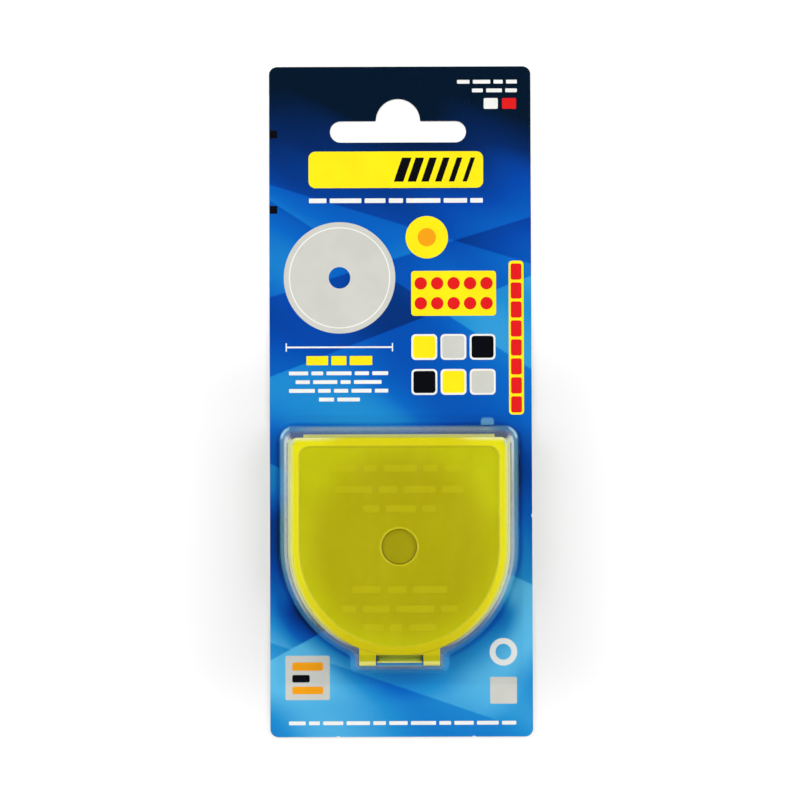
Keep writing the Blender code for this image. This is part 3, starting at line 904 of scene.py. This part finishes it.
def steel_material():
    """Ground steel: circular grinding on the faces, fine radial lines on the bevel."""
    graph = Graph("Blade steel")
    local, x, y, z = graph.centred()
    radius = graph.radius(x, y)
    angle = graph.math("ARCTAN2", y, x)
    rings = graph.noise(graph.wire("CombineXYZ", 0, {0: radius, 1: z * 40.0}), 9000.0)
    rays = graph.noise(graph.wire("CombineXYZ", 0, {0: angle * 0.06, 1: z}), 5200.0)
    bevel = (radius - ground_radius).rise(-0.02, 0.02)
    lines = rays * bevel + rings * (1.0 - bevel)
    stain = graph.noise(local, 180.0, 3.0).step(0.55, 0.75, 0.0, 0.25)
    tone = graph.mix(lines.step(0.3, 0.7), srgb(176, 178, 180), srgb(212, 213, 214))
    shader = graph.shader(
        "BsdfPrincipled",
        Base_Color=graph.mix(stain, tone, srgb(160, 158, 152)),
        Metallic=1.0,
        Roughness=lines.step(0.25, 0.75, 0.2, 0.36),
        Normal=graph.bump(lines, 0.3, 0.004 * MM),
    )
    return graph.finish(shader)


def dress(obj, slot, nodes, *materials):
    """Smooths a finished piece, gives it its materials, hangs it under the root and hides the imported
    nodes it stands for.
    """
    smooth(obj)
    for material in materials:
        obj.data.materials.append(material)
    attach(obj, "root")
    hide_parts(*nodes)


# Card

FIELD_INK, WHITE, YELLOW, BLACK, RED, GREY, AMBER = range(7)
INKS = (
    ("White ink", srgb(236, 236, 232)),
    ("Yellow ink", srgb(250, 230, 20)),
    ("Black ink", srgb(10, 12, 18)),
    ("Red ink", srgb(224, 28, 30)),
    ("Grey ink", srgb(204, 204, 196)),
    ("Amber ink", srgb(244, 160, 20)),
)

# The printed design in millimetres. Bars, as (ink, left, right, low, high, corner)
BARS = (
    # Right of the hang hole, and under it
    (RED, 24.6, 28.0, 70.2, 72.8, 0.3),
    (WHITE, 20.2, 23.6, 70.2, 72.8, 0.3),
    (YELLOW, -22.0, 20.0, 51.2, 60.0, 1.6),
    # Behind the dots, and down the right side
    (YELLOW, 2.6, 23.0, 20.4, 31.2, 0.8),
    (YELLOW, 26.0, 29.6, -3.4, 33.6, 0.9),
    # A line with two ends
    (WHITE, -27.6, -1.8, 12.7, 13.1, 0.1),
    (WHITE, -27.6, -27.3, 11.9, 13.9, 0.1),
    (WHITE, -2.1, -1.8, 11.9, 13.9, 0.1),
    # Foot
    (GREY, 21.2, 27.6, -72.6, -66.2, 0.3),
    (GREY, -27.8, -17.2, -71.6, -61.0, 0.4),
    (AMBER, -26.2, -18.8, -64.6, -62.6, 0.4),
    (BLACK, -26.2, -22.0, -67.4, -65.6, 0.4),
    (AMBER, -26.2, -18.8, -70.2, -68.4, 0.4),
    # Register marks
    (BLACK, -31.35, -29.5, 63.25, 65.15, 0.05),
    (BLACK, -31.35, -29.5, 45.05, 46.95, 0.05),
)

# Discs, as (ink, x, y, radius)
DISCS = (
    (GREY, -14.6, 29.6, 13.4),
    (WHITE, -14.6, 29.6, 12.2),
    (GREY, -14.6, 29.6, 11.9),
    (FIELD_INK, -14.6, 29.6, 2.6),
    (YELLOW, 6.4, 39.3, 5.1),
    (AMBER, 6.4, 39.3, 2.2),
    (WHITE, 24.4, -60.2, 3.3),
    (FIELD_INK, 24.4, -60.2, 1.9),
)

# Rows of dashes, as (ink, left, low, height, lengths)
DASH_ROWS = (
    (WHITE, 13.8, 76.3, 0.9, (3.0, 4.2, 2.2, 2.6)),
    (WHITE, 17.4, 74.2, 0.9, (2.6, 3.8, 2.8)),
    (WHITE, -21.9, 47.6, 1.1, (4.2, 7.6, 5.0, 3.4, 8.2, 5.6, 3.0)),
    (YELLOW, -22.6, 8.6, 2.2, (5.2, 3.6, 5.4)),
    (WHITE, -26.8, 6.2, 0.9, (4.6, 2.8, 6.0, 3.4, 3.8)),
    (WHITE, -25.2, 4.1, 0.9, (3.4, 5.8, 2.4, 6.6)),
    (WHITE, -26.8, 2.0, 0.9, (6.2, 3.0, 3.4, 4.8, 3.2)),
    (WHITE, -19.6, -0.1, 0.9, (3.6, 5.4)),
    (WHITE, -27.0, -77.6, 0.9, (4.0, 2.6, 4.8, 5.6, 3.0, 4.4, 6.0, 2.8, 4.6, 5.2, 3.4)),
)
DASH_GAP = 0.8
DASH_CORNER = 0.15

# Slanting bars, each thinner than the one before
SLANT_COUNT = 6
SLANT_START = (-1.5, 52.7)
SLANT_TOP = 58.5
SLANT_PITCH = 3.3
SLANT_WIDTH = 2.3
SLANT_THINNER = 0.24
SLANT_LEAN = 2.0


# Dots, segments of the stripe and framed swatches, as (inks, columns, pitch, first outline)
REPEATS = (
    ((RED,) * 10, 5, (3.95, 4.8), circle(1.5, DOT_STEPS, (4.9, 23.4))),
    ((RED,) * 8, 1, (0.0, 4.56), bar(26.5, 29.1, -2.9, 1.0, 0.5)),
    ((WHITE,) * 6, 3, (7.0, -8.4), bar(2.6, 8.8, 9.8, 16.0, 1.0)),
    ((YELLOW, GREY, BLACK, BLACK, YELLOW, GREY), 3, (7.0, -8.4), bar(3.05, 8.35, 10.25, 15.55, 0.7)),
)


def print_shapes():
    """The printed design as (ink, outline), each over those before it."""
    shapes = [(ink, bar(*form)) for ink, *form in BARS]
    shapes += [(ink, circle(radius, DISC_STEPS, (x, y))) for ink, x, y, radius in DISCS]
    for ink, *form in DASH_ROWS:
        shapes += [(ink, outline) for outline in row(*form, DASH_GAP, DASH_CORNER)]
    for i in range(SLANT_COUNT):
        left, low = SLANT_START[0] + SLANT_PITCH * i, SLANT_START[1]
        right = left + SLANT_WIDTH - SLANT_THINNER * i
        top = [(right + SLANT_LEAN, SLANT_TOP), (left + SLANT_LEAN, SLANT_TOP)]
        shapes.append((BLACK, [(left, low), (right, low)] + top))
    for inks, columns, (right, up), outline in REPEATS:
        for i, ink in enumerate(inks):
            shapes.append((ink, moved(outline, right * (i % columns), up * (i // columns))))
    return shapes


def make_card():
    """The card: its printed face is one flat sheet of fields, each of its own ink."""
    outer = card_outline()
    hole = moved(hang_slot(), pack_x, slot_y)
    face = (inset_outline(outer, CARD_EDGE_ROUND), inset_outline(hole, -CARD_EDGE_ROUND))
    shapes = print_shapes()
    polygons = [[(x / MM, y / MM) for x, y in outline] for outline in face]
    polygons += [outline for _, outline in shapes]
    points = []
    loops = []
    for polygon in polygons:
        loops.append(list(range(len(points), len(points) + len(polygon))))
        points += [Vector(point) for point in polygon]
    # Each part of the sheet names the polygons it lies in: the card, the hole, then shapes
    flat, _, parts, _, _, sources = delaunay_2d_cdt(points, [], loops, 1, PRINT_MERGE, True)
    card_source, hole_source, first_shape = range(3)
    work = bmesh.new()
    verts = add_loop(work, [point * MM for point in flat], CARD_THICKNESS)
    for part, source in zip(parts, sources):
        if hole_source in source or card_source not in source:
            continue
        sheet = work.faces.new([verts[i] for i in part])
        top = max(source)
        sheet.material_index = shapes[top - first_shape][0] if top >= first_shape else FIELD_INK
    loose = [vert for vert in work.verts if not vert.link_faces]
    bmesh.ops.delete(work, geom=loose, context="VERTS")

    def in_slot(slot, make, *form):
        """Makes faces, all with one material slot."""
        before = set(work.faces)
        make(work, *form)
        for made in set(work.faces) - before:
            made.material_index = slot

    back_slot = len(INKS) + 1
    rings = []
    for outline, inward in ((outer, 1.0), (hole, -1.0)):
        profile = [(inset, CARD_THICKNESS - drop) for inset, drop in edge_curve(CARD_EDGE_ROUND)]
        profile += [(inset, CARD_THICKNESS - z) for inset, z in reversed(profile)]
        edge = [add_loop(work, inset_outline(outline, inset * inward), z) for inset, z in profile]
        in_slot(back_slot + 1, bridge, edge)
        rings.append(edge[-1])
    in_slot(back_slot, fill, *rings)
    card = piece_from(work, "printed_card", (0.0, 0.0))
    materials = [field_material()] + [ink_material(name, colour) for name, colour in INKS]
    materials.append(board_material("Board back", srgb(216, 212, 202), (240.0, 1500.0, 1.0)))
    materials.append(board_material("Board core", srgb(232, 230, 224), (500.0, 500.0, 9000.0)))
    dress(card, "printed_card", ["backing_card"], *materials)


# Blister


def blister_section(inset):
    """The blister's outline at an inset from its foot."""
    share = inset / DRAFT
    return blister_outline(
        *(reach - inset for reach in (foot_half, foot_head, foot_toe, foot_tab_half)),
        BASE_CORNER + (TOP_CORNER - BASE_CORNER) * share,
        BASE_TAB_CORNER + (TOP_TAB_CORNER - BASE_TAB_CORNER) * share,
    )


def blister_profile():
    """(inset, height) of the wall's outer face, from the flange to the crown."""
    foot = (0.0, flange_high)
    crown = (DRAFT, blister_high)
    outward = (-DRAFT, flange_high)
    inward = (2 * DRAFT, blister_high)
    return bend(outward, foot, crown, FOOT_BEND) + bend(foot, crown, inward, CROWN_BEND)


def make_blister():
    work = bmesh.new()
    rim = rectangle(-flange_half, flange_half, -flange_toe, flange_head, FLANGE_CORNER)
    rim_loop = add_loop(work, rim, flange_high)
    loops = [add_loop(work, blister_section(inset), z) for inset, z in blister_profile()]
    fill(work, rim_loop, loops[0])
    cap(work, loops)
    blister = piece_from(work, "clear_blister")
    turn_up(blister, max(blister.data.polygons, key=lambda face: face.center.z))
    solidify = blister.modifiers.new("Sheet", "SOLIDIFY")
    solidify.thickness = SHEET
    solidify.offset = -1.0
    solidify.use_even_offset = True
    left = VENT_PLACE - VENT_WIDTH / 2
    steps = []
    for operation, inset, start in (("UNION", 0.0, SHEET), ("DIFFERENCE", SHEET, DRAFT)):
        sides = (left + inset, left + VENT_WIDTH - inset)
        ends = (foot_head - start, foot_head + VENT_REACH - inset)
        outline = rectangle(*sides, *ends, VENT_CORNER - inset)
        heights = (flange_low - inset, flange_high + VENT_HEIGHT - inset)
        steps.append((operation, prism("vent_" + operation, outline, *heights, VENT_ROUND, "high")))
    boolean(blister, steps)
    dress(blister, "clear_film", ["blister"], film_material())


# Case


def case_corner(half):
    return CASE_CORNER * half / case_radius


def rim_corner(half):
    """From the case's corner at the rim's outer edge to the panel's at its inner edge."""
    return PANEL_CORNER + (CASE_CORNER - PANEL_CORNER) * (half - panel_half) / RIM_WIDTH


def case_loops(work, profile, corner=case_corner):
    """Loops of the case's own outline, from (half-width, height) points."""
    return [add_loop(work, shield(half, corner(half)), z) for half, z in profile]


def round_loops(work, profile):
    return [add_loop(work, circle(radius), z) for radius, z in profile]


def raised_rows():
    """Rows of plain low bars on the lid's panel, all in one mesh."""
    work = bmesh.new()
    heights = (panel_high - RELIEF_ROOT, panel_high + RELIEF_RISE)
    for y, lengths in RELIEF_ROWS:
        left = -(sum(lengths) + RELIEF_GAP * (len(lengths) - 1)) / 2
        form = (left, y - RELIEF_WIDTH / 2, RELIEF_WIDTH, lengths, RELIEF_GAP, RELIEF_CORNER)
        for outline in row(*form):
            outline = [(px * MM, py * MM) for px, py in outline]
            add_prism(work, outline, *heights, RELIEF_RISE / 2, "high")
    return piece_from(work, "raised_rows")


def make_lid(material):
    shelf = tray_high + RABBET_HEIGHT + PARTING_GAP
    outer = rounded_profile(
        (rabbet_radius, lid_low, 0),
        (case_radius, lid_low, SOFT_EDGE),
        (case_radius, rim_high, CASE_EDGE_ROUND),
        (panel_half + RIM_SLOPE, rim_high, 2 * RIM_SLOPE),
        (panel_half - RIM_SLOPE, panel_high, RIM_SLOPE),
        (panel_half - 3 * RIM_SLOPE, panel_high, 0),
    )
    inner = [(rabbet_radius, shelf), (cavity_radius, shelf), (cavity_radius, panel_low)]
    lip_reach = dimple_radius + DIMPLE_LIP_WIDTH
    lip_high = panel_high + DIMPLE_LIP_RISE
    dimple_low = panel_high - DIMPLE_DEPTH
    dimple = rounded_profile(
        (lip_reach + 2 * SOFT_EDGE, panel_high, 0),
        (lip_reach + DIMPLE_LIP_ROUND, panel_high, DIMPLE_LIP_ROUND),
        (lip_reach - DIMPLE_LIP_ROUND, lip_high, DIMPLE_LIP_ROUND),
        (dimple_radius, lip_high, DIMPLE_LIP_ROUND),
        (dimple_radius, dimple_low, SOFT_EDGE),
        (dimple_radius - 2 * SOFT_EDGE, dimple_low, 0),
    )
    work = bmesh.new()
    outer_loops = case_loops(work, outer, rim_corner)
    inner_loops = case_loops(work, inner)
    dimple_loops = round_loops(work, dimple)
    bridge(work, outer_loops)
    cap(work, [outer_loops[0]] + inner_loops)
    fill(work, outer_loops[-1], dimple_loops[0])
    cap(work, dimple_loops)
    lid = piece_from(work, "case_lid")

    tab_low = tab_high - TAB_THICKNESS
    root = OVERRUN - cavity_radius
    tab_profile = rounded_profile(
        (root, tab_low, 0),
        (root, tab_high, 0),
        (-tab_end, tab_high, TAB_EDGE_ROUND),
        (-tab_end, tab_low, SOFT_EDGE),
    )
    tab = bar_along_x("lid_tab", tab_profile, TAB_WIDTH / 2, SOFT_EDGE)
    inner_wall = shield(cavity_radius + CASE_WALL / 4, CASE_CORNER)
    inside = prism("lid_inside", inner_wall, lid_low - OVERRUN, panel_low + LID_PANEL / 4)
    boolean(tab, [("DIFFERENCE", inside)])
    notch_top = NOTCH_BITE - case_radius
    notch_outline = box(-NOTCH_WIDTH / 2, NOTCH_WIDTH / 2, -tab_end - OVERRUN, notch_top)
    notch = prism("tab_notch", notch_outline, lid_low - OVERRUN, rim_high + OVERRUN)
    catch_outline = box(-barb_half, barb_half, barb_end - CATCH_LAP, notch_top + NOTCH_BITE / 2)
    catch = prism("lid_catch", catch_outline, catch_high - BARB_HEIGHT, catch_high, CATCH_ROUND)
    boolean(lid, [("UNION", tab), ("DIFFERENCE", notch), ("UNION", catch), ("UNION", raised_rows())])
    dress(lid, "yellow_plastic", ["blade_case"], material)


def make_tray(material):
    outer = rounded_profile(
        (case_radius - 2 * CASE_EDGE_ROUND, case_low, 0),
        (case_radius, case_low, CASE_EDGE_ROUND),
        (case_radius, tray_high, SOFT_EDGE),
        (lip_radius, tray_high, 0),
        (lip_radius, tray_high + RABBET_HEIGHT, SOFT_EDGE),
        (cavity_radius, tray_high + RABBET_HEIGHT, SOFT_EDGE),
        (cavity_radius, floor_high, SOFT_EDGE),
        (cavity_radius - 2 * SOFT_EDGE, floor_high, 0),
    )
    post = rounded_profile(
        (post_radius + 2 * SOFT_EDGE, floor_high, 0),
        (post_radius, floor_high, SOFT_EDGE),
        (post_radius, post_high, 2 * SOFT_EDGE),
        (post_radius - 4 * SOFT_EDGE, post_high, 0),
    )
    bore_radius = post_radius - POST_WALL
    bore = [(bore_radius, case_low), (bore_radius, post_high - POST_WALL)]
    work = bmesh.new()
    outer_loops = case_loops(work, outer)
    post_loops = round_loops(work, post)
    bore_loops = round_loops(work, bore)
    bridge(work, outer_loops)
    fill(work, outer_loops[-1], post_loops[0])
    cap(work, post_loops)
    fill(work, outer_loops[0], bore_loops[0])
    cap(work, bore_loops)
    tray = piece_from(work, "case_tray")

    hook_inner = hook_end + HOOK_THICKNESS
    root = -cavity_radius - CASE_WALL / 2
    hook_profile = rounded_profile(
        (root, case_low + CASE_EDGE_ROUND, 0),
        (root, tray_high, 0),
        (hook_inner, tray_high, SOFT_EDGE),
        (hook_inner, hook_high, SOFT_EDGE),
        (hook_end, hook_high, SOFT_EDGE),
        (hook_end, case_low + CASE_EDGE_ROUND, 2 * SOFT_EDGE),
    )
    hook = bar_along_x("hook", hook_profile, hook_half, SOFT_EDGE)
    barb_outline = box(-barb_half, barb_half, hook_end + HOOK_THICKNESS / 2, barb_end)
    barb = prism("hook_barb", barb_outline, barb_low, barb_high, SOFT_EDGE)
    boolean(tray, [("UNION", hook), ("UNION", barb)])
    dress(tray, "yellow_plastic", ["blade_case"], material)


def make_hinge(material):
    """A thin strap that bends round the parting gap from the tray to the lid."""
    middle = (tray_high + lid_low) / 2
    inner = HINGE_REACH - HINGE_THICKNESS
    root = case_radius - RABBET_CLEARANCE
    profile = [(root, -HINGE_REACH)]
    profile += arc((case_radius, 0), HINGE_REACH, -90, 90, 2 * CORNER_STEPS)
    profile += [(root, HINGE_REACH), (root, inner)]
    profile += arc((case_radius, 0), inner, 90, -90, 2 * CORNER_STEPS)
    profile += [(root, -inner)]
    hinge = bar_along_x("case_hinge", moved(profile, 0, middle), HINGE_LENGTH / 2, SOFT_EDGE)
    dress(hinge, "yellow_plastic", ["blade_case"], material)


# Blades


def make_blades():
    material = steel_material()
    half = BLADE_THICKNESS / 2
    edge = EDGE_THICKNESS / 2
    profile = ((ground_radius, half), (BLADE_RADIUS, edge), (BLADE_RADIUS, -edge), (ground_radius, -half))
    for i in range(BLADE_COUNT):
        work = bmesh.new()
        outer = [add_loop(work, circle(radius, BLADE_STEPS), z) for radius, z in profile]
        inner = [add_loop(work, lobed_hole(), z) for z in (half, -half)]
        bridge(work, outer)
        bridge(work, inner)
        fill(work, outer[0], inner[0])
        fill(work, outer[-1], inner[-1])
        height = floor_high + BLADE_GAP + half + i * blade_pitch
        place = Matrix.Translation((0, 0, height)) @ Matrix.Rotation(i * BLADE_TURN, 4, "Z")
        bmesh.ops.transform(work, matrix=place, verts=work.verts)
        name = f"blade_{i + 1:02d}"
        blade = piece_from(work, f"cutting_{name}")
        dress(blade, "blade_steel", [name], material)


# Stage


def make_floor():
    """A pale floor that shows near white, darker under the pack, with painted shade beside it."""
    work = bmesh.new()
    outline = box(-FLOOR_REACH, FLOOR_REACH, -FLOOR_REACH, FLOOR_REACH)
    work.faces.new(add_loop(work, outline, -FLOOR_DROP))
    floor = piece_from(work, "floor", (0.0, 0.0))
    turn_up(floor, floor.data.polygons[0])
    graph = Graph("Pale floor")
    x, y, _ = graph.axes(graph.coordinates())
    seen = graph.ray("Is Camera Ray").higher(graph.ray("Is Glossy Ray"))
    seen = seen.higher(graph.ray("Is Transmission Ray"))
    # Painted shade beside the pack, on its left and right
    shade_beside = x.rise(-78, -26, 0.0, 0.24).lower(x.fall(26, 74, 0.24))
    shade_beside = shade_beside * abs(y + 30 * MM).fall(28, 62)
    level = graph.radius(x, y).step(0.3, 1.0, 0.43, 1.0) - shade_beside
    paper = graph.shader("BsdfDiffuse", Color=(0.6, 0.6, 0.6, 1.0))
    glow = graph.shader("Emission", Strength=seen * level)
    floor.data.materials.append(graph.finish(graph.wire("AddShader", 0, {0: paper, 1: glow})))


def make_lamp(name, place, size, power, gloss_only):
    """A soft panel aimed at the pack. It either lights it or only shows in gloss."""
    lamp = bpy.data.lights.new(name, "AREA")
    lamp.shape = "RECTANGLE"
    lamp.size, lamp.size_y = size
    lamp.energy = power
    obj = new_object(name, lamp)
    obj.location = place
    obj.rotation_euler = (-Vector(place)).to_track_quat("-Z", "Y").to_euler()
    obj.visible_diffuse = not gloss_only
    obj.visible_glossy = gloss_only
    obj.visible_camera = False


def make_world():
    """White round the horizon, dark overhead for reflections, even for diffuse light."""
    graph = Graph("Studio", bpy.data.worlds)
    bpy.context.scene.world = graph.owner
    up = graph.axes(graph.coordinates("Generated"))[2]
    levels = (WORLD_LIGHT, up.step(0.1, 0.7, 0.8, 0.01), 1.0)
    even, room, white = (graph.shader("Background", Color=WHITE_LIGHT, Strength=level) for level in levels)
    lit = graph.mix_shader(graph.ray("Is Glossy Ray"), even, room)
    graph.finish(graph.mix_shader(graph.ray("Is Camera Ray"), lit, white), "World")


def make_camera():
    camera = bpy.data.cameras.new("Camera")
    camera.sensor_width = SENSOR
    aim = Vector((*AIM, CARD_THICKNESS))
    place = aim + Vector((0.0, -CAMERA_BACK, CAMERA_HEIGHT))
    camera.lens = SENSOR * (place - aim).length / FIELD
    camera.clip_start = CAMERA_NEAR
    obj = new_object("Camera", camera)
    turn = (aim - place).to_track_quat("-Z", "Y").to_matrix().to_4x4()
    obj.matrix_world = Matrix.Translation(place) @ turn @ Matrix.Rotation(CAMERA_ROLL, 4, "Z")
    bpy.context.scene.camera = obj


make_floor()
make_world()
make_camera()
for lamp in LAMPS:
    make_lamp(*lamp)
make_card()
make_blister()
yellow = plastic_material()
make_lid(yellow)
make_tray(yellow)
make_hinge(yellow)
make_blades()
bpy.context.scene.view_settings.view_transform = "Standard"
